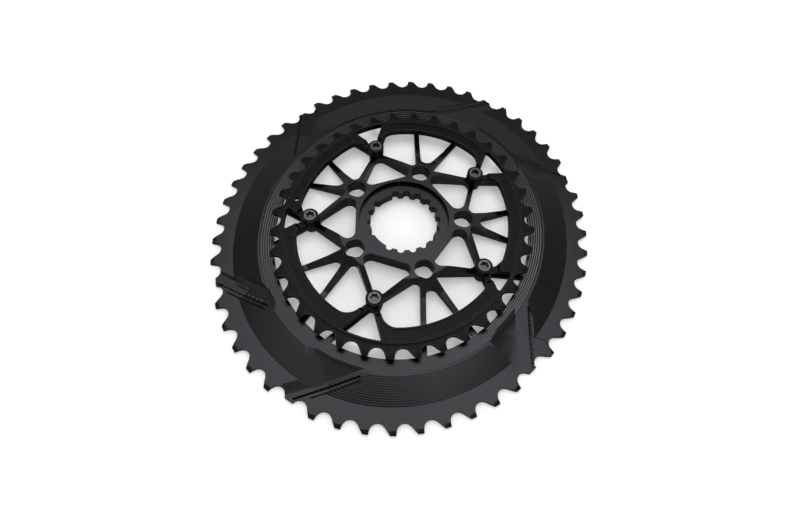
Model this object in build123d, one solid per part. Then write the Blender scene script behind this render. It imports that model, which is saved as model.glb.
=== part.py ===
"""Oval double chainring: an outer ring machined in one piece with its lattice
spider, an inner ring laid on five pads of the spider, and five short bolts."""

import os
from math import atan2, cos, degrees, radians, sin, tan

from build123d import *

# Chain
chain_pitch = 12.7
roller_diameter = 7.75
ring_spacing = 6.5

# Tooth form, the same on both rings
axis_ratio = 1.11
tooth_thickness = 2.1
tooth_rise = 1.4
seat_play = 0.05
seat_flats = 6
steep_flank = 8
shallow_flank = 38
tip_bevel = 2.0
tip_bevel_drop = 0.55

# Outer ring
outer_teeth = 52
band_width = 6.6
crest_height = 4.5
crest_width = 1.0
rim_slope_width = 7.25
rim_drop = 1.75
rim_edge = 1.5
shift_tooth_cut = 2.2
shift_teeth = (8.5, 18.5, 24.5)

# Shift ramps milled across the outer ring, each from a shortened tooth up to the crest
ramp_start_turn = -0.8
ramp_end_turn = 19
ramp_tooth_height = 1.3
ramp_bend = 0.5
ramp_bend_height = 1.5
ramp_floor_widths = (7.0, 5.0, 2.9)
ramp_blends = (12, 25, 9)
land_width = 1.8
land_height = 0.5
relief_teeth = shift_teeth[:1]
relief_turn = 4.6
relief_radius = 7.7
relief_setback = 2.0
relief_depth = 0.35

# Inner ring
inner_teeth = 36
ridge_gap = 1.2
ridge_height = 1.55
ridge_width = 2.3
pocket_width = 4.7
pocket_half_angle = 25
pocket_depth = 1.0
pocket_corner = 1.4
band_edge = 1.1
tab_fillet = 8
v_window_wall = 0.5
v_window_edge = 1.2
v_window_corner = 1.0
marker_hole = 3.0
marker_angle = 188.3
face_drop = 0.2

# Bolts
bolt_count = 5
bolt_turn = 56.26
bolt_circle = 99.9
boss_diameter = 8.8
boss_height = 12.6
face_around_boss = 7.2
bolt_head_diameter = 6.8
bolt_head_height = 3.0
bolt_head_proud = 0.25
bolt_diameter = 5.0
bolt_end = 1.6
head_play = 0.15
bolt_play = 0.15
socket_width = 4.4
socket_waist = 3.3
socket_depth = 2.2
socket_lobes = 6

# Spider
hub_height = 10.55
hub_bottom = 2.4
hub_flat = 25.9
slope_start = 36
pad_height = ring_spacing
pad_radius = 45.5
pad_bottom = 2.2
pad_back = 1.4
reach_radius = 57
reach_height = 3.4
reach_bottom = 1.5
rim_bottom = 0.3
rim_flat_radius = 68
hub_hole_circle = 63.7
hub_hole_radius = 6.2
hub_hole_corner = 3.6
arm_width = 2.8
spoke_root = 29.7
spoke_angle = 18.3
spoke_width = 2.9
v_arm_angle = 33
v_arm_width = 2.9
pad_diameter = 7.8
window_corner = 4.0
spoke_corner = 3.2
side_corner = 2.5
v_corner = 1.5

# Hub seat and spline
lockring_radius = 24.3
seat_height = 7.95
spline_root_radius = 19.9
spline_tip_radius = 18.15
spline_positions = 18
spline_turn = 4.3
spline_notch_width = 3.6
spline_notch_flats = 10
blind_positions = (7, 12)

# Heights that follow
inner_bottom = ring_spacing
inner_top = ring_spacing + tooth_thickness
ridge_top = inner_top + ridge_height
hole_turn = bolt_turn - 180 / bolt_count
bolt_angles = [bolt_turn + 360 / bolt_count * k for k in range(bolt_count)]
hole_angles = [hole_turn + 360 / bolt_count * k for k in range(bolt_count)]

# Ovals: every oval keeps the same axis ratio, with the long axis along Y
short_share = 2 / (1 + axis_ratio)
long_share = short_share * axis_ratio


def oval(mean):
    """Oval face of the given mean radius."""
    return Ellipse(mean * short_share, mean * long_share)


def oval_point(mean, angle):
    """Point of an oval at a polar angle in degrees."""
    turn = atan2(sin(radians(angle)) / long_share, cos(radians(angle)) / short_share)
    return Vector(mean * short_share * cos(turn), mean * long_share * sin(turn))


def round_point(radius, angle):
    """Point of a circle at a polar angle in degrees."""
    return Vector(radius * cos(radians(angle)), radius * sin(radians(angle)))


def oval_turned(profile):
    """Solid swept round the axis by a section of mean radii and heights."""
    return scale(revolve(Plane.XZ * profile, Axis.Z), by=(short_share, long_share, 1))


def pitch_mean(teeth):
    """Mean radius of the oval that carries one chain pitch per tooth."""
    return teeth * chain_pitch / oval(1).edge().length


outer_pitch = pitch_mean(outer_teeth)
inner_pitch = pitch_mean(inner_teeth)
outer_tip = outer_pitch + tooth_rise
inner_tip = inner_pitch + tooth_rise
seat_radius = roller_diameter / 2 + seat_play
outer_root = outer_pitch - seat_radius
inner_root = inner_pitch - seat_radius
rim_radius = inner_tip - rim_edge
crest_radius = rim_radius + rim_slope_width + crest_width
rim_height = crest_height - rim_drop
band_inner = outer_root - band_width
ridge_outer = inner_root - ridge_gap
pocket_outer = ridge_outer - ridge_width
pocket_inner = pocket_outer - pocket_width
band_inner_edge = pocket_inner - band_edge


def side_line(start, angle, shift):
    """Straight edge along an angle, moved to its left by a shift."""
    way = round_point(1, angle)
    return start + Vector(-way.Y, way.X) * shift, way


def crossing(first, second):
    """Point where two straight edges meet."""
    (start, way), (other_start, other_way) = first, second
    gap = other_start - start
    turn = way.X * other_way.Y - way.Y * other_way.X
    return start + way * ((gap.X * other_way.Y - gap.Y * other_way.X) / turn)


# Edges of the V arms, with the bolt along +X
bolt_axis = side_line(Vector(0, 0), 0, 0)
v_inner = side_line(Vector(bolt_circle / 2, 0), v_arm_angle, -v_arm_width / 2)
v_outer = side_line(Vector(bolt_circle / 2, 0), v_arm_angle, v_arm_width / 2)


def tooth_gap():
    """Roller seat in short flats between its two flanks, opening along +X."""
    flank = 3 * tooth_rise + seat_radius
    first = 90 + shallow_flank
    turn = (180 - shallow_flank - steep_flank) / seat_flats
    seat = [round_point(seat_radius, first + turn * step) for step in range(seat_flats + 1)]
    high_end = seat[0] + round_point(flank, shallow_flank)
    low_end = seat[-1] + round_point(flank, -steep_flank)
    return make_face(Polyline(high_end, *seat, low_end, close=True))


def pitch_places(teeth, steps):
    """Places along the pitch oval, counted in teeth from the first gap, with X outward."""
    curve = oval(pitch_mean(teeth)).edge()
    places = []
    for step in steps:
        share = step / teeth % 1
        point = curve.position_at(share)
        along = curve.tangent_at(share)
        places.append(Pos(point.X, point.Y) * Rot(0, 0, degrees(atan2(-along.X, along.Y))))
    return places


def gap_cutters(teeth, bottom, top):
    """Prisms that leave the teeth standing on a ring."""
    prism = Pos(0, 0, bottom) * extrude(tooth_gap(), top - bottom)
    return [place * prism for place in pitch_places(teeth, range(teeth))]


def build_outer_blank():
    """Outer ring before toothing: flat tooth band, rising slope, narrow crest and the fall to the rim."""
    low_bevel = tip_bevel_drop
    high_bevel = tooth_thickness - tip_bevel_drop
    section = [
        (rim_radius, 0),
        (outer_tip - tip_bevel, 0),
        (outer_tip, low_bevel),
        (outer_tip, high_bevel),
        (outer_tip - tip_bevel, tooth_thickness),
        (band_inner, tooth_thickness),
        (crest_radius, crest_height),
        (crest_radius - crest_width, crest_height),
        (rim_radius, rim_height),
    ]
    return oval_turned(make_face(Polyline(*section, close=True)))


def polar_angle(place):
    """Polar angle of a place, in degrees."""
    return degrees(atan2(place.position.Y, place.position.X))


def build_ramp(angle, floor_width, blend):
    """Channel with a narrow land along its high side, rising in two runs from a tooth to the crest."""
    start = oval_point(outer_tip, angle + ramp_start_turn)
    end = oval_point(crest_radius - crest_width, angle + ramp_end_turn)
    run = end - start
    across = Vector(-run.Y, run.X)
    top = 2 * crest_height
    section = [
        (-land_width, top),
        (-land_width, land_height),
        (0, land_height),
        (0, 0),
        (floor_width, 0),
        (floor_width + top / tan(radians(blend)), top),
    ]
    section = make_face(Polyline(*section, close=True))
    low = start + Vector(0, 0, ramp_tooth_height)
    bend = start + run * ramp_bend + Vector(0, 0, ramp_bend_height)
    high = end + Vector(0, 0, crest_height)
    runs = []
    for here, there in ((low, bend), (bend, high)):
        way = there - here
        runs.append(extrude(Plane(here, x_dir=across, z_dir=run) * section, way.length, dir=way))
    return runs


def build_ramps():
    """Milling across the outer ring at the shortened teeth, alike on both halves."""
    cuts = []
    tip_box = Box(2 * outer_root, chain_pitch * 0.7, 4 * crest_height)
    tip_cut = Pos(tooth_rise - shift_tooth_cut + outer_root, 0) * tip_box
    places = pitch_places(outer_teeth, shift_teeth)
    for place, floor_width, blend in zip(places, ramp_floor_widths, ramp_blends):
        cuts.append(place * tip_cut)
        cuts += build_ramp(polar_angle(place), floor_width, blend)
    relief = Pos(0, 0, tooth_thickness - relief_depth) * extrude(Circle(relief_radius), relief_depth)
    for place in pitch_places(outer_teeth, relief_teeth):
        centre = oval_point(outer_root - relief_setback, polar_angle(place) + relief_turn)
        cuts.append(Pos(centre.X, centre.Y) * relief)
    cuts += [Rot(0, 0, 180) * cut for cut in cuts]
    return cuts


def build_spider_face():
    """Plan of the lattice: windows with straight sides and rounded corners, repeated at every bolt."""
    half_turn = 180 / bolt_count
    far = 2 * rim_radius
    bolt = Vector(bolt_circle / 2, 0)
    node = round_point(hub_hole_circle / 2, half_turn)
    arm_angle = degrees(atan2(node.Y - bolt.Y, node.X - bolt.X))
    arm_inner = side_line(bolt, arm_angle, arm_width / 2)
    arm_outer = side_line(bolt, arm_angle, -arm_width / 2)
    spoke_start = round_point(spoke_root, half_turn)
    spoke = side_line(spoke_start, half_turn - spoke_angle, -spoke_width / 2)
    mirrored_spoke = side_line(spoke_start, half_turn - spoke_angle, spoke_width / 2)
    spoke_axis = side_line(Vector(0, 0), half_turn, 0)
    hub_side = side_line(Vector(hub_flat, 0), 90, 0)

    hub_corner = crossing(arm_inner, hub_side)
    hub_window = [hub_corner, Vector(hub_corner.X, -hub_corner.Y), crossing(arm_inner, bolt_axis)]
    v_apex = crossing(v_inner, bolt_axis)
    v_far = v_apex + round_point(far, v_arm_angle)
    v_window = [v_apex, v_far, Vector(v_far.X, -v_far.Y)]
    side_near = crossing(arm_outer, v_outer)
    side_node = crossing(arm_outer, spoke)
    side_window = [side_near, side_near + v_outer[1] * far, side_node + spoke[1] * far, side_node]
    spoke_apex = crossing(mirrored_spoke, spoke_axis)
    spoke_window = [spoke_apex]
    for turn in (-spoke_angle, spoke_angle):
        spoke_window.append(spoke_apex + round_point(far, half_turn + turn))

    windows = []
    for corners, radius in (
        (hub_window, window_corner),
        (v_window, v_corner),
        (side_window, side_corner),
        (spoke_window, spoke_corner),
    ):
        window = make_face(Polyline(*corners, close=True))
        windows.append(fillet(window.vertices(), radius))
    windows.append(mirror(windows[2], Plane.XZ))

    hole = fillet(RegularPolygon(hub_hole_radius, 5).vertices(), hub_hole_corner)
    face = oval(rim_radius + 1)
    for angle in bolt_angles:
        cuts = [Rot(0, 0, angle) * (window & Rot(0, 0, -angle) * oval(rim_radius)) for window in windows]
        face -= cuts
    for angle in bolt_angles:
        face += Rot(0, 0, angle) * Pos(bolt.X, 0) * Circle(pad_diameter / 2)
    for angle in hole_angles:
        face -= Rot(0, 0, angle) * Pos(hub_hole_circle / 2, 0) * hole
    return face


def build_spider():
    """Dished lattice with its hub, lockring seat and spline."""
    reach = (rim_radius + 1) * long_share
    section = [
        (0, hub_bottom),
        (slope_start, hub_bottom),
        (pad_radius, pad_bottom),
        (reach_radius, reach_bottom),
        (rim_flat_radius, rim_bottom),
        (reach, rim_bottom),
        (reach, rim_height),
        (rim_flat_radius, rim_height),
        (reach_radius, reach_height),
        (pad_radius, pad_height),
        (slope_start, hub_height),
        (0, hub_height),
    ]
    envelope = revolve(Plane.XZ * make_face(Polyline(*section, close=True)), Axis.Z)
    spider = envelope & extrude(build_spider_face(), hub_height + 1)
    pad = Pos(bolt_circle / 2, 0, pad_back) * extrude(Circle(pad_diameter / 2), pad_height - pad_back)
    for angle in bolt_angles:
        spider += Rot(0, 0, angle) * pad
    spider -= Pos(0, 0, seat_height) * extrude(Circle(lockring_radius), hub_height)
    spline = Circle(spline_tip_radius)
    for position in range(spline_positions):
        if position not in blind_positions:
            notch = Pos(spline_root_radius - spline_notch_width / 2, 0)
            notch *= RegularPolygon(spline_notch_width / 2, spline_notch_flats, major_radius=False)
            spline += Rot(0, 0, spline_turn + position * 360 / spline_positions) * notch
    spider -= extrude(spline, hub_height)
    return spider


def build_outer_ring():
    """Toothed and ramped ring joined to its spider, with threaded bolt holes."""
    ring = build_outer_blank() - gap_cutters(outer_teeth, -1, crest_height + 1) - build_ramps()
    ring += build_spider()
    hole = extrude(Circle(bolt_diameter / 2), hub_height)
    nest = Pos(0, 0, pad_height) * extrude(Circle(boss_diameter / 2 + bolt_play), hub_height)
    for angle in bolt_angles:
        place = Rot(0, 0, angle) * Pos(bolt_circle / 2, 0)
        ring -= [place * hole, place * nest]
    return ring


def build_inner_band():
    """Plan of the raised band with five tabs blended into it and a window in each tab."""
    band = oval(ridge_outer) - oval(band_inner_edge)
    apex = crossing(v_outer, bolt_axis)
    far = apex + round_point(2 * rim_radius, v_arm_angle)
    tab = make_face(Polyline(apex, far, Vector(far.X, -far.Y), close=True))
    boss = Pos(bolt_circle / 2, 0) * Circle(boss_diameter / 2)
    for angle in bolt_angles:
        band += Rot(0, 0, angle) * tab & oval(ridge_outer)
    roots = band.vertices().filter_by(on_inner_edge)
    band = fillet(roots, tab_fillet)
    for angle in bolt_angles:
        band += Rot(0, 0, angle) * boss
    apex = crossing(v_inner, bolt_axis)
    far = apex + round_point(2 * rim_radius, v_arm_angle)
    opening = make_face(Polyline(apex, far, Vector(far.X, -far.Y), close=True))
    clear = Pos(bolt_circle / 2, 0) * Circle(boss_diameter / 2 + v_window_wall)
    for angle in bolt_angles:
        window = Rot(0, 0, angle) * (opening - clear) & oval(ridge_outer - v_window_edge)
        band -= fillet(window.vertices(), v_window_corner)
    return band


def on_inner_edge(corner):
    """Whether a corner of the band lies where a tab leaves its inner edge."""
    mean = Vector(corner.X / short_share, corner.Y / long_share).length
    return abs(mean - band_inner_edge) < 0.01 and abs(corner.X) > 0.01


def build_inner_ring():
    """Inner ring: tooth plate, raised band with pockets, tabs with windows and bosses."""
    low_bevel = inner_bottom + tip_bevel_drop
    high_bevel = inner_top - tip_bevel_drop
    section = [
        (ridge_outer - 1, inner_bottom),
        (inner_tip - tip_bevel, inner_bottom),
        (inner_tip, low_bevel),
        (inner_tip, high_bevel),
        (inner_tip - tip_bevel, inner_top),
        (ridge_outer - 1, inner_top),
    ]
    ring = oval_turned(make_face(Polyline(*section, close=True)))
    ring -= gap_cutters(inner_teeth, inner_bottom - 1, inner_top + 1)
    ring += Pos(0, 0, inner_bottom) * extrude(build_inner_band(), ridge_top - inner_bottom)

    pocket_ends = [Vector(0, 0)]
    for side in (-1, 1):
        pocket_ends.append(round_point(2 * rim_radius, side * pocket_half_angle))
    wedge = make_face(Polyline(*pocket_ends, close=True))
    for angle in hole_angles:
        pocket = Rot(0, 0, angle) * wedge & oval(pocket_outer) - oval(pocket_inner)
        ends = pocket.vertices().filter_by(lambda corner: abs(corner.X) > 0.01)
        pocket = fillet(ends, pocket_corner)
        ring -= Pos(0, 0, ridge_top - pocket_depth) * extrude(pocket, pocket_depth + 1)

    face_height = ridge_top - inner_top + face_drop
    face = Pos(0, 0, ridge_top - face_height / 2) * Cone(face_around_boss, face_around_boss + face_height, face_height)
    boss = Pos(0, 0, inner_bottom) * extrude(Circle(boss_diameter / 2), boss_height - inner_bottom)
    head_seat = boss_height + bolt_head_proud - bolt_head_height
    seat = Pos(0, 0, head_seat) * extrude(Circle(bolt_head_diameter / 2 + head_play), bolt_head_height)
    hole = extrude(Circle(bolt_diameter / 2 + bolt_play), boss_height)
    for angle in bolt_angles:
        place = Rot(0, 0, angle) * Pos(bolt_circle / 2, 0)
        ring -= place * face
        ring += place * boss
        ring -= [place * seat, place * hole]
    marker = oval_point(pocket_outer - pocket_width / 2, marker_angle)
    ring -= Pos(marker.X, marker.Y) * extrude(Circle(marker_hole / 2), boss_height)
    return ring


def build_bolt():
    """One bolt standing on the axis: round head with a six-pointed socket, and shank."""
    head_top = boss_height + bolt_head_proud
    radius = bolt_head_diameter / 2
    head = Pos(0, 0, head_top - bolt_head_height) * extrude(Circle(radius), bolt_head_height)
    shank = Pos(0, 0, bolt_end) * extrude(Circle(bolt_diameter / 2), head_top - bolt_end - 1)
    corners = []
    for step in range(2 * socket_lobes):
        width = socket_waist if step % 2 else socket_width
        corners.append(round_point(width / 2, 180 / socket_lobes * step))
    socket = make_face(Polyline(*corners, close=True))
    return head + shank - Pos(0, 0, head_top - socket_depth) * extrude(socket, socket_depth + 1)


def build_bolts():
    """The five bolts, each a solid of its own."""
    bolt = build_bolt()
    return Compound(children=[Rot(0, 0, angle) * Pos(bolt_circle / 2, 0) * bolt for angle in bolt_angles])


os.makedirs("parts", exist_ok=True)
export_step(build_outer_ring(), "parts/outer_ring.step")
export_step(build_inner_ring(), "parts/inner_ring.step")
export_step(build_bolts(), "parts/ring_bolts.step")
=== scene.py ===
import math

import bmesh
import bpy
from mathutils import Euler, Matrix, Vector
from mathutils.bvhtree import BVHTree
from mathutils.interpolate import poly_3d_calc


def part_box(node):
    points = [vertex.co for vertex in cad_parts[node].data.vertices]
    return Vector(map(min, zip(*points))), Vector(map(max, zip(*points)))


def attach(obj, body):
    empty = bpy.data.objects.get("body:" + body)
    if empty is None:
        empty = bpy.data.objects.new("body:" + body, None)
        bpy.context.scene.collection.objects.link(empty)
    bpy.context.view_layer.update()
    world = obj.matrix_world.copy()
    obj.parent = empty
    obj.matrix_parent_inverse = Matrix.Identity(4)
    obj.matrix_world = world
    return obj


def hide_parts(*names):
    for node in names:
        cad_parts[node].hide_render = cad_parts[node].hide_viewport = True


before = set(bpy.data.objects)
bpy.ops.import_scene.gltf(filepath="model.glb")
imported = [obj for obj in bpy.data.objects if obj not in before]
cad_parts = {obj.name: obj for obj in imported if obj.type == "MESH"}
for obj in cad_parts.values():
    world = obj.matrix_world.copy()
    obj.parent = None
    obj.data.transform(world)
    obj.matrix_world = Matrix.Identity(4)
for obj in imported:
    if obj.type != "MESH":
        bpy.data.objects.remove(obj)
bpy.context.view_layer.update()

# Outer ring with its spider
# The real piece is milled from one aluminium blank, teeth, lattice and hub together. The fall to its
# rim is turned in steps and the shift ramps keep the marks of the mill. It is anodised black all over.
MM = 0.001
axis_ratio = 1.11
short_share = 2 / (1 + axis_ratio)
long_share = short_share * axis_ratio
tip_radius = 106.5 * MM
band_inner_radius = 94.6 * MM
crest_radius = 80.85 * MM
crest_inner_radius = 79.85 * MM
crest_height = 4.5 * MM
rim_radius = 72.6 * MM
rim_height = 2.75 * MM
step_count = 6
step_width = (crest_inner_radius - rim_radius) / step_count
step_facets = 360
step_lift = 0.02 * MM
step_slant = 0.06 * MM
slope_lean = math.radians(9.9)
ramp_start_turn = -0.8
ramp_end_turn = 19
serrated_ramp = 327.5
stroked_ramp = 219.6
crescent_ramp = 260.1
stroked_ramp_blend = 25
crescent_ramp_blend = 9
mill_length = 3 * MM
mill_sides = 48
wide_flare = mill_length
steep_flare = 0.2 * MM
groove_flare = 2.3 * MM
groove_sides = 12
groove_radius = 0.03 * MM
groove_depth = 0.5 * MM
groove_plunges = 70
wall_foot_side = 0.3 * MM
land_edge_side = -2.1 * MM
turning_step = 1.05 * MM
turning_depth = 0.02 * MM
turning_bearing = math.radians(262)
slope_fade = 0.4 * MM
step_fade = 0.02 * MM
# Where each step fades from its painted highlight to its painted shade
step_highlight_part = (0.3, 0.5)
hub_turned_radius = 24.4 * MM
hub_turned_fade = 0.1 * MM
hub_face_radius = 37 * MM
hub_face_fade = 2 * MM
grain_size = 0.35 * MM
grain_depth = 0.004 * MM
milled_grain_size = 0.5 * MM
milled_grain_depth = 0.01 * MM
turned_edge_radius = 0.12 * MM
blasted_edge_radius = 0.25 * MM
# Width of the painted highlight along edges
edge_highlight_width = 0.6 * MM
turned_black = (0.0236, 0.0234, 0.0258, 1)
# Painted highlight and painted shade of the turned steps
painted_step_highlight = (0.075, 0.074, 0.080, 1)
painted_step_shade = (0.0085, 0.0084, 0.0093, 1)
blasted_black = (0.0160, 0.0158, 0.0172, 1)
arm_black = (0.0105, 0.0104, 0.0113, 1)
# Painted highlight colour for the spider's edges
painted_arm_edge_highlight = (0.085, 0.082, 0.084, 1)
anodised_edge = (0.5, 0.5, 0.5, 1)
# Warm tint of the spider's edge-on gloss: a painted warm reflection
painted_warm_reflection = (0.86, 0.74, 0.70, 1)
turned_roughness = 0.26
blasted_roughness = 0.46
milled_roughness = 0.62
roughness_drift = 0.04
milled_drift = 0.05


def node(tree, kind, **settings):
    """Adds a node to a tree, with its settings and the values or links of its sockets."""
    made = tree.nodes.new(kind)
    sockets = settings.pop("sockets", {})
    for name, value in settings.items():
        setattr(made, name, value)
    for key, value in sockets.items():
        if isinstance(value, bpy.types.NodeSocket):
            tree.links.new(value, made.inputs[key])
        else:
            made.inputs[key].default_value = value
    return made


def math_node(tree, operation, *values):
    """Adds a Math node on numbers and sockets and returns its output."""
    return node(tree, "ShaderNodeMath", operation=operation, sockets=dict(enumerate(values))).outputs[0]


def map_range(tree, value, low, high, at_low=0.0, at_high=1.0):
    """Adds a Map Range node that goes from one level to another between two limits of a value."""
    sockets = {0: value, 1: low, 2: high, 3: at_low, 4: at_high}
    return node(tree, "ShaderNodeMapRange", sockets=sockets).outputs[0]


def shader_group(name, inputs, outputs):
    """Starts a shader node group with number inputs and outputs, and returns it with its two ends."""
    group = bpy.data.node_groups.new(name, "ShaderNodeTree")
    for label, value in inputs.items():
        socket = group.interface.new_socket(name=label, in_out="INPUT", socket_type="NodeSocketFloat")
        socket.default_value = value
    for label in outputs:
        group.interface.new_socket(name=label, in_out="OUTPUT", socket_type="NodeSocketFloat")
    return group, group.nodes.new("NodeGroupInput").outputs, group.nodes.new("NodeGroupOutput").inputs


def use_group(tree, group, sockets):
    """Places a node group in a material with its own values and returns its outputs."""
    placed = tree.nodes.new("ShaderNodeGroup")
    placed.node_tree = group
    for label, value in sockets.items():
        if isinstance(value, bpy.types.NodeSocket):
            tree.links.new(value, placed.inputs[label])
        else:
            placed.inputs[label].default_value = value
    return placed.outputs


def between(tree, value, low, high, soft):
    """Mask that is one between two limits of a value, with soft ends."""
    rise = map_range(tree, value, low - soft, low + soft)
    fall = map_range(tree, value, high - soft, high + soft, 1.0, 0.0)
    return math_node(tree, "MULTIPLY", rise, fall)


# Mean radius of the oval through a point, and the round radius of the same point
oval_group, given, put_out = shader_group(
    "oval radius", {"Short share": 1.0, "Long share": 1.0}, ["Mean radius", "Round radius"]
)
place = node(oval_group, "ShaderNodeTexCoord").outputs["Object"]
parts = node(oval_group, "ShaderNodeSeparateXYZ", sockets={0: place}).outputs
stretched = node(
    oval_group,
    "ShaderNodeCombineXYZ",
    sockets={
        0: math_node(oval_group, "DIVIDE", parts[0], given["Short share"]),
        1: math_node(oval_group, "DIVIDE", parts[1], given["Long share"]),
    },
)
flat = node(oval_group, "ShaderNodeCombineXYZ", sockets={0: parts[0], 1: parts[1]})
for label, across in (("Mean radius", stretched), ("Round radius", flat)):
    length = node(oval_group, "ShaderNodeVectorMath", operation="LENGTH", sockets={0: across.outputs[0]})
    oval_group.links.new(length.outputs["Value"], put_out[label])

# Grooves that a turning tool leaves, strongest in the sector round a bearing, and a mask of the rest
turning_group, given, put_out = shader_group(
    "turning grooves",
    {"Radius": 0.0, "Step": 1 * MM, "Depth": 0.0, "Bearing": 0.0},
    ["Height", "Far side"],
)
groove_sector = (0.6, 0.95)
faint_groove = 0.08
far_sector = (0.3, 0.9)
near_mask = 0.1
turns = math_node(turning_group, "DIVIDE", given["Radius"], given["Step"])
wave = math_node(turning_group, "SINE", math_node(turning_group, "MULTIPLY", turns, 2 * math.pi))
place = node(turning_group, "ShaderNodeTexCoord").outputs["Object"]
parts = node(turning_group, "ShaderNodeSeparateXYZ", sockets={0: place}).outputs
bearing = math_node(turning_group, "ARCTAN2", parts[1], parts[0])
off_bearing = math_node(turning_group, "SUBTRACT", bearing, given["Bearing"])
nearness = math_node(turning_group, "COSINE", off_bearing)
strength = map_range(turning_group, nearness, *groove_sector, faint_groove)
depth = math_node(turning_group, "MULTIPLY", strength, given["Depth"])
turning_group.links.new(math_node(turning_group, "MULTIPLY", wave, depth), put_out["Height"])
far_side = map_range(turning_group, nearness, *far_sector, 1.0, near_mask)
turning_group.links.new(far_side, put_out["Far side"])

# Fine grain of bead-blasted and anodised metal
grain_group, given, put_out = shader_group(
    "blasted grain", {"Size": 0.3 * MM, "Depth": 0.0}, ["Height", "Mottle"]
)
cloud_scale = 60.0
place = node(grain_group, "ShaderNodeTexCoord").outputs["Object"]
fineness = math_node(grain_group, "DIVIDE", 1.0, given["Size"])
speckle = node(
    grain_group, "ShaderNodeTexNoise", sockets={"Vector": place, "Scale": fineness, "Detail": 2.0}
).outputs[0]
cloud = node(
    grain_group, "ShaderNodeTexNoise", sockets={"Vector": place, "Scale": cloud_scale, "Detail": 3.0}
).outputs[0]
grain_group.links.new(math_node(grain_group, "MULTIPLY", speckle, given["Depth"]), put_out["Height"])
grain_group.links.new(cloud, put_out["Mottle"])

# Edges painted lighter as a highlight, found where a rounded normal departs from the surface's own
edge_group, given, put_out = shader_group("worn edges", {"Width": 0.3 * MM}, ["Edge"])
edge_limits = (0.995, 0.92)
rounded = node(edge_group, "ShaderNodeBevel", samples=6, sockets={"Radius": given["Width"]}).outputs[0]
facing = node(edge_group, "ShaderNodeNewGeometry").outputs["Normal"]
alike = node(
    edge_group, "ShaderNodeVectorMath", operation="DOT_PRODUCT", sockets={0: rounded, 1: facing}
).outputs["Value"]
edge_group.links.new(map_range(edge_group, alike, *edge_limits), put_out["Edge"])


def colour_mix(tree, share, plain, other):
    """Colour that goes from a plain one to another by a share."""
    return node(tree, "ShaderNodeMix", data_type="RGBA", sockets={0: share, 6: plain, 7: other}).outputs[2]


def highlight_edges(tree, width, colour, rubbed):
    """Colours a surface, with its edges painted lighter as a highlight."""
    edge = use_group(tree, edge_group, {"Width": width})["Edge"]
    base_colour = tree.nodes["Principled BSDF"].inputs["Base Color"]
    tree.links.new(colour_mix(tree, edge, colour, rubbed), base_colour)


def soft_bump(tree, height, edge):
    """Normal with softened edges and the relief of a height."""
    rounded = node(tree, "ShaderNodeBevel", samples=6, sockets={"Radius": edge}).outputs[0]
    bump = node(tree, "ShaderNodeBump", sockets={"Distance": 1.0, "Height": height, "Normal": rounded})
    tree.links.new(bump.outputs[0], tree.nodes["Principled BSDF"].inputs["Normal"])


def mottled_roughness(tree, roughness, mottle, spread):
    """Roughness that drifts a little over the surface."""
    drift = map_range(tree, mottle, 0.0, 1.0, -spread, spread)
    drifting = math_node(tree, "ADD", drift, roughness)
    tree.links.new(drifting, tree.nodes["Principled BSDF"].inputs["Roughness"])


def finish(name, colour, edge_share):
    """Starts a metal with its colour, and with the share of a bare metal's gloss that it has edge-on."""
    material = bpy.data.materials.new(name)
    material.use_nodes = True
    surface = material.node_tree.nodes["Principled BSDF"]
    surface.inputs["Base Color"].default_value = colour
    surface.inputs["Specular Tint"].default_value = edge_share
    surface.inputs["Metallic"].default_value = 1
    return material, material.node_tree


ring_finish, tree = finish("turned_black_anodising", turned_black, anodised_edge)
radii = use_group(tree, oval_group, {"Short share": short_share, "Long share": long_share})
mean_radius = radii["Mean radius"]
grooves = use_group(
    tree,
    turning_group,
    {"Radius": mean_radius, "Step": turning_step, "Depth": turning_depth, "Bearing": turning_bearing},
)
grain = use_group(tree, grain_group, {"Size": grain_size, "Depth": grain_depth})
on_slope = between(tree, mean_radius, crest_radius, band_inner_radius, slope_fade)
on_steps = between(tree, mean_radius, rim_radius, crest_inner_radius, step_fade)
# The steps get painted light: a painted highlight over part of each step and painted shade over the rest,
# faint on the near side
climbed = math_node(tree, "DIVIDE", math_node(tree, "SUBTRACT", mean_radius, rim_radius), step_width)
step_highlight_share = map_range(tree, math_node(tree, "FRACT", climbed), *step_highlight_part, 1.0, 0.0)
step_light_share = math_node(tree, "MULTIPLY", grooves["Far side"], on_steps)
painted_step_tone = colour_mix(tree, step_highlight_share, painted_step_shade, painted_step_highlight)
tone = colour_mix(tree, step_light_share, turned_black, painted_step_tone)
tree.links.new(tone, tree.nodes["Principled BSDF"].inputs["Base Color"])
turned = math_node(tree, "MULTIPLY", grooves["Height"], on_slope)
soft_bump(tree, math_node(tree, "ADD", turned, grain["Height"]), turned_edge_radius)
mottled_roughness(tree, turned_roughness, grain["Mottle"], roughness_drift)

ramp_finish, tree = finish("milled_ramp_anodising", turned_black, anodised_edge)
grain = use_group(tree, grain_group, {"Size": milled_grain_size, "Depth": milled_grain_depth})
soft_bump(tree, grain["Height"], turned_edge_radius)
mottled_roughness(tree, milled_roughness, grain["Mottle"], milled_drift)

# The spider's walls seen edge-on reflect warm: a painted warm reflection
spider_finish, tree = finish("blasted_spider_anodising", blasted_black, painted_warm_reflection)
radii = use_group(tree, oval_group, {"Short share": short_share, "Long share": long_share})
from_axis = radii["Round radius"]
turned_end = hub_turned_radius + hub_turned_fade
roughness = map_range(tree, from_axis, hub_turned_radius, turned_end, turned_roughness, blasted_roughness)
on_arms = map_range(tree, from_axis, hub_face_radius - hub_face_fade, hub_face_radius + hub_face_fade)
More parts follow.
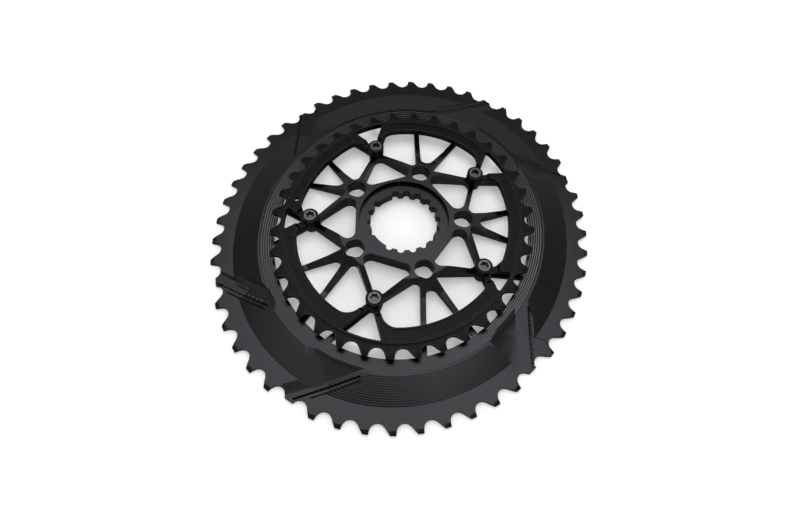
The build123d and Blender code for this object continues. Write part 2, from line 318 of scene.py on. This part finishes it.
# The spider's edges are painted lighter: a painted highlight where light catches them
highlight_edges(tree, edge_highlight_width, colour_mix(tree, on_arms, blasted_black, arm_black), painted_arm_edge_highlight)
grain = use_group(tree, grain_group, {"Size": grain_size, "Depth": grain_depth})
soft_bump(tree, grain["Height"], blasted_edge_radius)
mottled_roughness(tree, roughness, grain["Mottle"], roughness_drift)


def geometry_tree(name, inputs):
    """Starts a Geometry Nodes tree with named inputs and returns it with them."""
    tree = bpy.data.node_groups.new(name, "GeometryNodeTree")
    tree.interface.new_socket(name="Geometry", in_out="OUTPUT", socket_type="NodeSocketGeometry")
    for label, kind in inputs.items():
        tree.interface.new_socket(name=label, in_out="INPUT", socket_type="NodeSocket" + kind)
    return tree, tree.nodes.new("NodeGroupInput").outputs


def end_tree(tree, geometry, material):
    """Ends a tree with real faces and their material."""
    whole = node(tree, "GeometryNodeRealizeInstances", sockets={0: geometry})
    sockets = {"Geometry": whole.outputs[0], "Material": material}
    painted = node(tree, "GeometryNodeSetMaterial", sockets=sockets)
    node(tree, "NodeGroupOutput", sockets={0: painted.outputs[0]})


def tidy_shape(piece):
    """Joins a mesh's doubled points and turns its faces outwards."""
    shape = bmesh.new()
    shape.from_mesh(piece.data)
    bmesh.ops.remove_doubles(shape, verts=shape.verts, dist=0.0001 * MM)
    bmesh.ops.recalc_face_normals(shape, faces=shape.faces)
    shape.to_mesh(piece.data)
    shape.free()


def new_piece(name):
    """Adds an empty mesh object at the origin."""
    piece = bpy.data.objects.new(name, bpy.data.meshes.new(name))
    bpy.context.scene.collection.objects.link(piece)
    return piece


def settle(piece):
    """Puts the result of a piece's modifiers in its mesh and removes them."""
    ready = piece.evaluated_get(bpy.context.evaluated_depsgraph_get())
    piece.data = bpy.data.meshes.new_from_object(ready)
    piece.data.name = piece.name
    piece.modifiers.clear()


def grow(tree, name, values):
    """Runs a tree with its own values and returns the result as a plain mesh object."""
    piece = new_piece(name)
    modifier = piece.modifiers.new(name, "NODES")
    modifier.node_group = tree
    inputs = [item for item in tree.interface.items_tree if item.in_out == "INPUT"]
    sockets = {item.name: item.identifier for item in inputs}
    for label, value in values.items():
        modifier[sockets[label]] = value
    settle(piece)
    tidy_shape(piece)
    return piece


# Stair-shaped ring that the lathe takes away between crest and rim
steps_tree, given = geometry_tree(
    "turned steps",
    {
        "Rim radius": "Float",
        "Rim height": "Float",
        "Steps": "Int",
        "Step width": "Float",
        "Step height": "Float",
        "Slant": "Float",
        "Facets": "Int",
        "Short share": "Float",
        "Long share": "Float",
        "Finish": "Material",
    },
)
corner = node(steps_tree, "GeometryNodeInputIndex").outputs[0]
stair_corners = math_node(steps_tree, "MULTIPLY", given["Steps"], 2.0)
stair_limit = math_node(steps_tree, "SUBTRACT", stair_corners, 0.5)
on_stair = math_node(steps_tree, "LESS_THAN", corner, stair_limit)
last_limit = math_node(steps_tree, "ADD", stair_corners, 0.5)
not_last = math_node(steps_tree, "LESS_THAN", corner, last_limit)
riser_foot = math_node(steps_tree, "MODULO", corner, 2.0)
run = math_node(steps_tree, "FLOOR", math_node(steps_tree, "MULTIPLY_ADD", corner, 0.5, 0.5))
run = math_node(steps_tree, "MULTIPLY", run, not_last)
run = math_node(steps_tree, "MULTIPLY", run, given["Step width"])
off_stair = math_node(steps_tree, "SUBTRACT", 1.0, on_stair)
lean = math_node(steps_tree, "SUBTRACT", off_stair, riser_foot)
across = math_node(steps_tree, "MULTIPLY_ADD", lean, given["Slant"], run)
climb = math_node(steps_tree, "FLOOR", math_node(steps_tree, "MULTIPLY", corner, 0.5))
tread = math_node(steps_tree, "MULTIPLY_ADD", climb, given["Step height"], given["Rim height"])
above = math_node(steps_tree, "ADD", given["Steps"], 1.0)
top = math_node(steps_tree, "MULTIPLY_ADD", above, given["Step height"], given["Rim height"])
level = node(steps_tree, "GeometryNodeSwitch", input_type="FLOAT", sockets={0: on_stair, 1: top, 2: tread})
down = math_node(steps_tree, "MULTIPLY", level.outputs[0], -1.0)
place = node(steps_tree, "ShaderNodeCombineXYZ", sockets={0: across, 1: down}).outputs[0]
corner_count = math_node(steps_tree, "ADD", stair_corners, 2.0)
corners = node(steps_tree, "GeometryNodeMeshLine", sockets={"Count": corner_count}).outputs[0]
corners = node(
    steps_tree, "GeometryNodeSetPosition", sockets={"Geometry": corners, "Position": place}
).outputs[0]
outline = node(steps_tree, "GeometryNodeMeshToCurve", sockets={0: corners}).outputs[0]
outline = node(
    steps_tree, "GeometryNodeSetSplineCyclic", sockets={"Geometry": outline, "Cyclic": True}
).outputs[0]
circle = node(
    steps_tree,
    "GeometryNodeCurvePrimitiveCircle",
    sockets={"Resolution": given["Facets"], "Radius": given["Rim radius"]},
).outputs[0]
swept = node(
    steps_tree, "GeometryNodeCurveToMesh", sockets={"Curve": circle, "Profile Curve": outline}
).outputs[0]
shares = node(
    steps_tree, "ShaderNodeCombineXYZ", sockets={0: given["Short share"], 1: given["Long share"], 2: 1.0}
)
oval = node(steps_tree, "GeometryNodeTransform", sockets={"Geometry": swept, "Scale": shares.outputs[0]})
end_tree(steps_tree, oval.outputs[0], given["Finish"])

# Row of plunges of an end mill along a line on the ring, alike on both halves
row_tree, given = geometry_tree(
    "milling row",
    {
        "Ring": "Object",
        "Start": "Vector",
        "End": "Vector",
        "Plunges": "Int",
        "Mill sides": "Int",
        "Mill radius": "Float",
        "Mill length": "Float",
        "Flare": "Float",
        "Start sink": "Float",
        "End sink": "Float",
        "Heading": "Rotation",
        "Finish": "Material",
    },
)
line = node(
    row_tree,
    "GeometryNodeMeshLine",
    mode="END_POINTS",
    sockets={"Count": given["Plunges"], "Start Location": given["Start"], "Offset": given["End"]},
).outputs[0]
ring = node(row_tree, "GeometryNodeObjectInfo", sockets={"Object": given["Ring"]}).outputs["Geometry"]
landing = node(
    row_tree,
    "GeometryNodeRaycast",
    sockets={"Target Geometry": ring, "Ray Direction": (0, 0, -1), "Ray Length": 1.0},
).outputs["Hit Position"]
plunge = node(row_tree, "GeometryNodeInputIndex").outputs[0]
sink = node(
    row_tree,
    "ShaderNodeMapRange",
    sockets={
        0: plunge,
        2: math_node(row_tree, "SUBTRACT", given["Plunges"], 1.0),
        3: math_node(row_tree, "MULTIPLY", given["Start sink"], -1.0),
        4: math_node(row_tree, "MULTIPLY", given["End sink"], -1.0),
    },
).outputs[0]
sunk = node(row_tree, "ShaderNodeCombineXYZ", sockets={2: sink}).outputs[0]
points = node(
    row_tree,
    "GeometryNodeSetPosition",
    sockets={"Geometry": line, "Position": landing, "Offset": sunk},
).outputs[0]
mill = node(
    row_tree,
    "GeometryNodeMeshCone",
    sockets={
        "Vertices": given["Mill sides"],
        "Radius Top": math_node(row_tree, "ADD", given["Mill radius"], given["Flare"]),
        "Radius Bottom": given["Mill radius"],
        "Depth": given["Mill length"],
    },
).outputs[0]
edge_at_point = node(
    row_tree,
    "ShaderNodeCombineXYZ",
    sockets={0: math_node(row_tree, "MULTIPLY", given["Mill radius"], -1.0)},
).outputs[0]
mill = node(
    row_tree, "GeometryNodeTransform", sockets={"Geometry": mill, "Translation": edge_at_point}
).outputs[0]
plunges = node(
    row_tree,
    "GeometryNodeInstanceOnPoints",
    sockets={"Points": points, "Instance": mill, "Rotation": given["Heading"]},
).outputs[0]
cuts = node(row_tree, "GeometryNodeMeshBoolean", operation="UNION", solver="MANIFOLD")
row_tree.links.new(plunges, cuts.inputs["Mesh 2"])
other_half = node(
    row_tree, "GeometryNodeTransform", sockets={"Geometry": cuts.outputs[0], "Rotation": (0, 0, math.pi)}
)
halves = node(row_tree, "GeometryNodeJoinGeometry")
for half in (cuts, other_half):
    row_tree.links.new(half.outputs[0], halves.inputs[0])
end_tree(row_tree, halves.outputs[0], given["Finish"])


def oval_point(mean, angle):
    """Point of an oval at a polar angle in degrees."""
    polar = math.radians(angle)
    turn = math.atan2(math.sin(polar) / long_share, math.cos(polar) / short_share)
    return Vector((mean * short_share * math.cos(turn), mean * long_share * math.sin(turn), 0))


def ramp_line(ramp):
    """Start and run of the line along a ramp's wall, and the way to its left."""
    start = oval_point(tip_radius, ramp + ramp_start_turn)
    run = oval_point(crest_inner_radius, ramp + ramp_end_turn) - start
    return start, run, Vector((-run.y, run.x, 0)).normalized()


def milling_row(name, ramp, *, shares, sides, plunges, radius, sinks, flare, roll=0, facets=mill_sides):
    """Cutter for a row of mill marks on a ramp, between two shares of its line and distances to its left."""
    start, run, left = ramp_line(ramp)
    above = Vector((0, 0, 10 * mill_length))
    ends = [start + run * share + left * side + above for share, side in zip(shares, sides)]
    way = ends[1] - ends[0]
    return grow(
        row_tree,
        name,
        {
            "Ring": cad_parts["outer_ring"],
            "Start": ends[0],
            "End": ends[1],
            "Plunges": plunges,
            "Mill sides": facets,
            "Mill radius": radius,
            "Mill length": mill_length,
            "Flare": flare,
            "Start sink": sinks[0],
            "End sink": sinks[1],
            "Heading": Euler((math.radians(roll), 0, math.atan2(way.y, way.x))),
            "Finish": ring_finish,
        },
    )


def is_slope(middle, normal):
    """Tells whether a face has the normal of the plain slope between band and crest."""
    outward_way = Vector((middle.x / short_share**2, middle.y / long_share**2, 0)).normalized()
    slope_way = outward_way * math.sin(slope_lean) + Vector((0, 0, math.cos(slope_lean)))
    return normal.dot(slope_way) > math.cos(slope_lean / 4)


def mean_radius_of(middle):
    """Mean radius of the oval through a point."""
    return Vector((middle.x / short_share, middle.y / long_share)).length


def is_blend(face):
    """Tells whether a face is the side of a ramp that leans from the slope down to the ramp's floor."""
    steepest = 0.85
    least_lean = math.sin(math.radians(4))
    most_lean = math.sin(math.radians(30))
    ramp_middle = 5
    middle = face.center
    steep = face.normal.z < steepest
    if steep or mean_radius_of(middle) < crest_inner_radius or is_slope(middle, face.normal):
        return False
    bearing = math.degrees(math.atan2(middle.y, middle.x))
    offs = {}
    for ramp in (serrated_ramp, stroked_ramp, crescent_ramp):
        offs[ramp] = abs((bearing - ramp - ramp_middle + 90) % 180 - 90)
    start, run, left = ramp_line(min(offs, key=offs.get))
    if middle.dot(start) < 0:
        left = -left
    return least_lean < -left.dot(face.normal) < most_lean


def keep_shading(mesh, uncut):
    """Gives corners the uncut node's normals, or their face's own on a cut, and rounds the ramps' blends."""
    skin_gap = 0.002 * MM
    same_plane = 0.9995
    gentle_fold = 0.9
    corner_inset = 0.05
    triangles = [face.vertices for face in uncut.polygons]
    skin = BVHTree.FromPolygons([point.co for point in uncut.vertices], triangles)
    normals = []
    kept = []
    beside = [[] for point in mesh.vertices]
    for face in mesh.polygons:
        on_skin = True
        for index in face.vertices:
            near_corner = mesh.vertices[index].co.lerp(face.center, corner_inset)
            spot, facing, found, gap = skin.find_nearest(near_corner)
            normal = face.normal.copy()
            if gap < skin_gap and facing.dot(face.normal) > same_plane:
                triangle = uncut.polygons[found]
                weights = poly_3d_calc([uncut.vertices[i].co for i in triangle.vertices], spot)
                normal = Vector()
                for corner, weight in zip(triangle.loop_indices, weights):
                    normal += uncut.corner_normals[corner].vector * weight
            else:
                on_skin = False
            normals.append(normal.normalized())
        kept.append(on_skin)
        if on_skin:
            for index in face.vertices:
                beside[index].append(face.normal.copy())
    for face in mesh.polygons:
        if kept[face.index] and is_blend(face):
            for corner, index in zip(face.loop_indices, face.vertices):
                around = [way for way in beside[index] if gentle_fold < way.dot(face.normal) < same_plane]
                if around:
                    normals[corner] = sum(around, Vector()).normalized()
    mesh.shade_smooth()
    mesh.normals_split_custom_set(normals)


cutters = [
    grow(
        steps_tree,
        "turned_steps",
        {
            "Rim radius": rim_radius,
            "Rim height": rim_height + step_lift,
            "Steps": step_count,
            "Step width": step_width,
            "Step height": (crest_height - rim_height) / step_count,
            "Slant": step_slant,
            "Facets": step_facets,
            "Short share": short_share,
            "Long share": long_share,
            "Finish": ring_finish,
        },
    ),
    milling_row(
        "wall_bites",
        serrated_ramp,
        shares=(0.16, 0.80),
        sides=(0.2 * MM, 0.2 * MM),
        plunges=12,
        radius=1.0 * MM,
        sinks=(0.2 * MM, 0.2 * MM),
        flare=steep_flare,
    ),
    milling_row(
        "wall_strokes",
        stroked_ramp,
        shares=(0.24, 0.77),
        sides=(0.7 * MM, 1.0 * MM),
        plunges=9,
        radius=1.3 * MM,
        sinks=(0.15 * MM, 0.2 * MM),
        flare=steep_flare,
    ),
    milling_row(
        "floor_arcs",
        stroked_ramp,
        shares=(0.42, 0.81),
        sides=(5.9 * MM, 5.1 * MM),
        plunges=9,
        radius=2.6 * MM,
        sinks=(0.05 * MM, 0.2 * MM),
        flare=wide_flare,
        roll=stroked_ramp_blend / 2,
    ),
    milling_row(
        "edge_arcs",
        crescent_ramp,
        shares=(0.155, 0.60),
        sides=(6.1 * MM, 4.3 * MM),
        plunges=16,
        radius=2.6 * MM,
        sinks=(0.08 * MM, 0.08 * MM),
        flare=wide_flare,
        roll=crescent_ramp_blend,
    ),
]

# Narrow grooves along the foot of each ramp's wall, and along the far edge of the land on two of them
groove_lines = (
    ("wall_foot", serrated_ramp, (0.12, 0.86), wall_foot_side),
    ("wall_foot", stroked_ramp, (0.12, 0.86), wall_foot_side),
    ("land_edge", stroked_ramp, (0.3, 0.86), land_edge_side),
    ("wall_foot", crescent_ramp, (0.12, 0.86), wall_foot_side),
    ("land_edge", crescent_ramp, (0.3, 0.86), land_edge_side),
)
for name, ramp, shares, side in groove_lines:
    groove = milling_row(
        name,
        ramp,
        shares=shares,
        sides=(side, side),
        plunges=groove_plunges,
        radius=groove_radius,
        sinks=(groove_depth, groove_depth),
        flare=groove_flare,
        facets=groove_sides,
    )
    cutters.append(groove)

uncut_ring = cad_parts["outer_ring"].data
outer_ring = new_piece("machined_outer_ring")
outer_ring.data = uncut_ring.copy()
outer_ring.data.materials.clear()
outer_ring.data.materials.append(ring_finish)
outer_ring.data.attributes.remove(outer_ring.data.attributes["custom_normal"])
tidy_shape(outer_ring)
for cutter in cutters:
    cut = outer_ring.modifiers.new(cutter.name, "BOOLEAN")
    cut.operation = "DIFFERENCE"
    cut.solver = "MANIFOLD"
    cut.object = cutter
settle(outer_ring)
for cutter in cutters:
    bpy.data.objects.remove(cutter)

shape = bmesh.new()
shape.from_mesh(outer_ring.data)
bmesh.ops.triangulate(shape, faces=shape.faces)
for face in shape.faces:
    middle = face.calc_center_median()
    mean = mean_radius_of(middle)
    over_slope = crest_radius < mean < band_inner_radius and face.normal.z > 0
    if mean < rim_radius - step_lift:
        face.material_index = 2
    elif over_slope and not is_slope(middle, face.normal):
        face.material_index = 1
    else:
        face.material_index = 0
shape.to_mesh(outer_ring.data)
shape.free()
outer_ring.data.materials.clear()
for material in (ring_finish, ramp_finish, spider_finish):
    outer_ring.data.materials.append(material)
keep_shading(outer_ring.data, uncut_ring)
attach(outer_ring, "root")
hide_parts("outer_ring")

# Inner ring
# A smaller toothed ring, milled from plate with pockets round its face and a boss at each bolt.
# It is bead-blasted and anodised, a little duller than the outer ring.
inner_black = (0.0098, 0.0097, 0.0105, 1)
# Painted highlight colour for the inner ring's edges
painted_inner_edge_highlight = (0.040, 0.039, 0.040, 1)
inner_roughness = 0.44
inner_grain_depth = 0.005 * MM
ridge_edge_height = 9.9 * MM
ridge_bevel = 0.4 * MM
ridge_fold = math.radians(50)
flat_fold = math.radians(0.5)
inner_sharp_fold = math.radians(22)

inner_finish, tree = finish("blasted_black_anodising", inner_black, anodised_edge)
# The inner ring's edges are painted lighter: a painted highlight where light catches them
highlight_edges(tree, edge_highlight_width, inner_black, painted_inner_edge_highlight)
grain = use_group(tree, grain_group, {"Size": grain_size, "Depth": inner_grain_depth})
soft_bump(tree, grain["Height"], blasted_edge_radius)
mottled_roughness(tree, inner_roughness, grain["Mottle"], roughness_drift)
inner_ring = new_piece("bevelled_inner_ring")
inner_ring.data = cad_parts["inner_ring"].data.copy()
inner_ring.data.materials.clear()
inner_ring.data.materials.append(inner_finish)
inner_ring.data.attributes.remove(inner_ring.data.attributes["custom_normal"])
tidy_shape(inner_ring)
shape = bmesh.new()
shape.from_mesh(inner_ring.data)
bmesh.ops.dissolve_limit(shape, angle_limit=flat_fold, verts=shape.verts, edges=shape.edges)
edges = []
for edge in shape.edges:
    high = min(point.co.z for point in edge.verts) > ridge_edge_height
    if high and edge.is_manifold and edge.calc_face_angle_signed() > ridge_fold:
        edges.append(edge)
bmesh.ops.bevel(
    shape, geom=edges, offset=ridge_bevel, offset_type="OFFSET", segments=1, affect="EDGES", profile=0.5
)
bmesh.ops.triangulate(shape, faces=shape.faces)
shape.to_mesh(inner_ring.data)
shape.free()
inner_ring.data.shade_smooth()
inner_ring.data.set_sharp_from_angle(angle=inner_sharp_fold)
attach(inner_ring, "root")
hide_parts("inner_ring")

# Bolts
# Short steel bolts with a round head, bevelled at its edge, and a six-lobe socket with a dished floor.
# Each is sunk in a boss of the inner ring and screwed into a pad of the spider.
bolt_count = 5
bolt_turn = math.radians(56.26)
bolt_circle_radius = 49.95 * MM
head_radius = 3.4 * MM
head_height = 3.0 * MM
head_bevel = 0.3 * MM
shank_radius = 2.5 * MM
socket_lobes = 6
socket_radius = 1.95 * MM
lobe_rise = 0.28 * MM
socket_lip = 0.12 * MM
socket_depth = 2.2 * MM
socket_floor_radius = 1.1 * MM
bolt_sides = 72
bolt_sharp_fold = math.radians(30)
bolt_seed = 4
bolt_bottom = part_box("ring_bolts")[0][2]
bolt_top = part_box("ring_bolts")[1][2]
bolt_steel = (0.08, 0.079, 0.078, 1)
steel_edge = (1, 1, 1, 1)
bolt_roughness = 0.36
bolt_drift = 0.05
bolt_grain_size = 0.25 * MM
bolt_grain_depth = 0.003 * MM
bolt_edge_radius = 0.1 * MM

bolt_finish, tree = finish("satin_bolt_steel", bolt_steel, steel_edge)
grain = use_group(tree, grain_group, {"Size": bolt_grain_size, "Depth": bolt_grain_depth})
soft_bump(tree, grain["Height"], bolt_edge_radius)
mottled_roughness(tree, bolt_roughness, grain["Mottle"], bolt_drift)


def lobed_ring(radius, rise, height):
    """Points round the axis on a circle whose radius swells at each lobe of the socket."""
    turns = [2 * math.pi * side / bolt_sides for side in range(bolt_sides)]
    reaches = [radius + rise * math.cos(socket_lobes * turn) for turn in turns]
    return [(reach * math.cos(turn), reach * math.sin(turn), height) for reach, turn in zip(reaches, turns)]


one_bolt = new_piece("one_bolt")
rings = [
    lobed_ring(shank_radius - head_bevel, 0, bolt_bottom),
    lobed_ring(shank_radius, 0, bolt_bottom + head_bevel),
    lobed_ring(shank_radius, 0, bolt_top - head_height),
    lobed_ring(head_radius, 0, bolt_top - head_height),
    lobed_ring(head_radius, 0, bolt_top - head_bevel),
    lobed_ring(head_radius - head_bevel, 0, bolt_top),
    lobed_ring(socket_radius + socket_lip, lobe_rise, bolt_top),
    lobed_ring(socket_radius, lobe_rise, bolt_top - socket_lip),
    lobed_ring(socket_radius, lobe_rise, bolt_top - socket_depth),
    lobed_ring(socket_floor_radius, 0, bolt_top - socket_depth),
    lobed_ring(socket_floor_radius / 3, 0, bolt_top - socket_depth - socket_lip),
]
shape = bmesh.new()
rows = [[shape.verts.new(point) for point in ring] for ring in rings]
shape.faces.new(reversed(rows[0]))
shape.faces.new(rows[-1])
for low, high in zip(rows, rows[1:]):
    for side in range(bolt_sides):
        next_side = (side + 1) % bolt_sides
        shape.faces.new((low[side], low[next_side], high[next_side], high[side]))
bmesh.ops.recalc_face_normals(shape, faces=shape.faces)
shape.to_mesh(one_bolt.data)
shape.free()

bolts_tree, given = geometry_tree(
    "bolts round a circle",
    {
        "Bolt": "Object",
        "Bolts": "Int",
        "Circle radius": "Float",
        "Turn": "Rotation",
        "Seed": "Int",
        "Finish": "Material",
    },
)
circle = node(
    bolts_tree,
    "GeometryNodeMeshCircle",
    sockets={"Vertices": given["Bolts"], "Radius": given["Circle radius"]},
).outputs[0]
circle = node(
    bolts_tree, "GeometryNodeTransform", sockets={"Geometry": circle, "Rotation": given["Turn"]}
).outputs[0]
bolt = node(bolts_tree, "GeometryNodeObjectInfo", sockets={"Object": given["Bolt"]}).outputs["Geometry"]
tightened = node(
    bolts_tree,
    "FunctionNodeRandomValue",
    data_type="FLOAT_VECTOR",
    sockets={0: (0, 0, 0), 1: (0, 0, math.pi), "Seed": given["Seed"]},
).outputs[0]
placed = node(
    bolts_tree,
    "GeometryNodeInstanceOnPoints",
    sockets={"Points": circle, "Instance": bolt, "Rotation": tightened},
)
end_tree(bolts_tree, placed.outputs[0], given["Finish"])
bolts = grow(
    bolts_tree,
    "six_lobe_bolts",
    {
        "Bolt": one_bolt,
        "Bolts": bolt_count,
        "Circle radius": bolt_circle_radius,
        "Turn": Euler((0, 0, bolt_turn)),
        "Seed": bolt_seed,
        "Finish": bolt_finish,
    },
)
bpy.data.objects.remove(one_bolt)
bolts.data.shade_smooth()
bolts.data.set_sharp_from_angle(angle=bolt_sharp_fold)
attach(bolts, "root")
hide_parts("ring_bolts")

# Floor and studio
# A white table top that runs out of view, under a soft box overhead, a small panel beside it
# and a pale room.
table_half = 4.0
table_white = (0.8, 0.8, 0.8, 1)
table_glow = 0.25
room_strength = 1.3
wall_top = 0.50
ceiling_start = 0.66
ceiling_level = 0.3
floor = new_piece("table_top")
corner_signs = ((-1, -1), (1, -1), (1, 1), (-1, 1))
corners = [(table_half * x, table_half * y, 0) for x, y in corner_signs]
floor.data.from_pydata(corners, [], [(0, 1, 2, 3)])
floor_white = bpy.data.materials.new("white_table")
floor_white.use_nodes = True
tree = floor_white.node_tree
tree.nodes.clear()
paint = node(tree, "ShaderNodeBsdfDiffuse", sockets={0: table_white}).outputs[0]
path = node(tree, "ShaderNodeLightPath").outputs
seen = math_node(tree, "MAXIMUM", path["Is Camera Ray"], path["Is Glossy Ray"])
shine = math_node(tree, "MULTIPLY", seen, table_glow)
glow = node(tree, "ShaderNodeEmission", sockets={1: shine}).outputs[0]
both = node(tree, "ShaderNodeAddShader", sockets={0: paint, 1: glow}).outputs[0]
node(tree, "ShaderNodeOutputMaterial", sockets={0: both})
floor.data.materials.append(floor_white)

world = bpy.data.worlds.new("pale_room")
bpy.context.scene.world = world
world.use_nodes = True
tree = world.node_tree
tree.nodes.clear()
way = node(tree, "ShaderNodeTexCoord").outputs["Generated"]
up = node(tree, "ShaderNodeSeparateXYZ", sockets={0: way}).outputs[2]
fade = node(tree, "ShaderNodeValToRGB", sockets={0: up})
stops = fade.color_ramp.elements
stops[0].color = (1, 1, 1, 1)
stops[1].color = (ceiling_level, ceiling_level, ceiling_level, 1)
for position, level in ((wall_top, 1.0), (ceiling_start, ceiling_level)):
    stop = stops.new(position)
    stop.color = (level, level, level, 1)
path = node(tree, "ShaderNodeLightPath").outputs
room = node(tree, "ShaderNodeBackground", sockets={0: fade.outputs[0], 1: room_strength}).outputs[0]
white = node(tree, "ShaderNodeBackground", sockets={0: (1, 1, 1, 1), 1: 1.0}).outputs[0]
shown = node(tree, "ShaderNodeMixShader", sockets={0: path["Is Camera Ray"], 1: room, 2: white}).outputs[0]
node(tree, "ShaderNodeOutputWorld", sockets={0: shown})

camera_place = Vector((39.97, -148.07, 249.58)) * MM
camera_target = Vector((4.556, -18.19, 0)) * MM
ring_centre = Vector((0, 0, 5 * MM))
lamp_distance = 1.0
box_rise = math.radians(73)
box_width = 0.93
box_depth = 0.69
box_radiance = 2.5
panel_ahead = -0.11
panel_beside = 0.20
panel_width = 0.34
panel_depth = 0.22
panel_radiance = 1.4


def aim(place, target):
    """Matrix of a lamp or camera that stands at a place and looks at a target."""
    turn = (target - place).to_track_quat("-Z", "Y")
    return Matrix.Translation(place) @ turn.to_matrix().to_4x4()


ahead = Vector((camera_target.x - camera_place.x, camera_target.y - camera_place.y, 0)).normalized()
beside = Vector((ahead.y, -ahead.x, 0))
for name, ahead_share, beside_share, width, depth, radiance in (
    ("soft_box", math.cos(box_rise), 0, box_width, box_depth, box_radiance),
    ("side_panel", panel_ahead, panel_beside, panel_width, panel_depth, panel_radiance),
):
    lamp = bpy.data.lights.new(name, "AREA")
    lamp.shape = "RECTANGLE"
    lamp.size = width
    lamp.size_y = depth
    lamp.energy = radiance * math.pi * width * depth
    lamp_object = bpy.data.objects.new(name, lamp)
    bpy.context.scene.collection.objects.link(lamp_object)
    level = ahead * ahead_share + beside * beside_share
    upright = Vector((0, 0, math.sqrt(1 - level.length_squared)))
    lamp_object.matrix_world = aim(ring_centre + (level + upright) * lamp_distance, ring_centre)

# Camera
# It stands where the photograph was taken, above the near edge and turned a little in its frame.
camera_roll = math.radians(4.8426)
camera = bpy.data.cameras.new("camera")
camera.sensor_fit = "HORIZONTAL"
camera.sensor_width = 36
camera.lens = 23.783
camera.clip_start = 0.01
camera_object = bpy.data.objects.new("camera", camera)
bpy.context.scene.collection.objects.link(camera_object)
camera_object.matrix_world = aim(camera_place, camera_target) @ Matrix.Rotation(camera_roll, 4, "Z")
bpy.context.scene.camera = camera_object
bpy.context.scene.view_settings.view_transform = "Standard"
